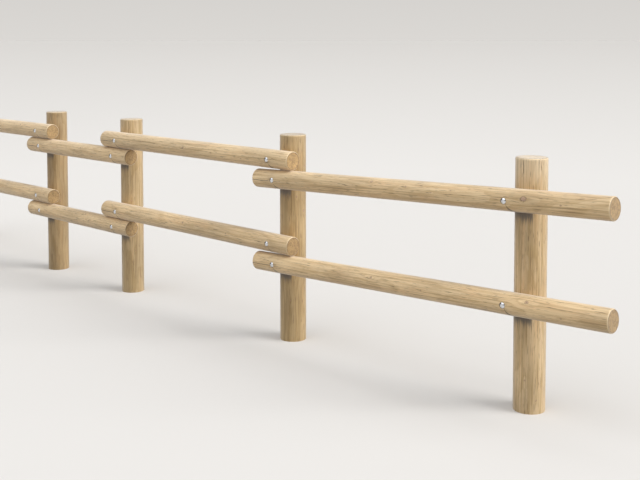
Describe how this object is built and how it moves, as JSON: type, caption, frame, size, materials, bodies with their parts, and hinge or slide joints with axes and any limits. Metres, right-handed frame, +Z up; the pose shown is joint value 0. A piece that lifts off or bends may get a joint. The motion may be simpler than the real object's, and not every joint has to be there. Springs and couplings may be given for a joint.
{
  "type": "two-rail round-post wooden fence",
  "caption": "Wooden rail fence: round posts carrying two rows of round rails, fixed on the front with dome head bolts, neighbouring bays lapped one on the other.",
  "frame": {"origin": "centre of the first post's foot, at ground level", "axes": "+X along the fence from the first post to the last, +Z up, rails on the -Y side of the posts"},
  "size_m": [6.1158, 0.2352, 1.1],
  "materials": {
    "post_wood": "smooth machine-rounded pine, untreated, slightly weathered",
    "rail_wood": "smooth machine-rounded pine, untreated, with knots",
    "zinc_steel": "bright zinc plate"
  },
  "bodies": {
    "root": {"post_1": "post_wood", "post_2": "post_wood", "post_3": "post_wood", "post_4": "post_wood", "post_5": "post_wood", "rail_1_upper": "rail_wood", "rail_1_lower": "rail_wood", "rail_2_upper": "rail_wood", "rail_2_lower": "rail_wood", "rail_3_upper": "rail_wood", "rail_3_lower": "rail_wood", "rail_4_upper": "rail_wood", "rail_4_lower": "rail_wood", "bolt_1_upper_left": "zinc_steel", "bolt_1_upper_right": "zinc_steel", "bolt_1_lower_left": "zinc_steel", "bolt_1_lower_right": "zinc_steel", "bolt_2_upper_left": "zinc_steel", "bolt_2_upper_right": "zinc_steel", "bolt_2_lower_left": "zinc_steel", "bolt_2_lower_right": "zinc_steel", "bolt_3_upper_left": "zinc_steel", "bolt_3_upper_right": "zinc_steel", "bolt_3_lower_left": "zinc_steel", "bolt_3_lower_right": "zinc_steel", "bolt_4_upper_left": "zinc_steel", "bolt_4_upper_right": "zinc_steel", "bolt_4_lower_left": "zinc_steel", "bolt_4_lower_right": "zinc_steel", "washers_1": "zinc_steel", "washers_2": "zinc_steel", "washers_3": "zinc_steel", "washers_4": "zinc_steel", "washers_5": "zinc_steel", "nuts_1": "zinc_steel", "nuts_2": "zinc_steel", "nuts_3": "zinc_steel", "nuts_4": "zinc_steel", "nuts_5": "zinc_steel"}
  },
  "joints": []
}
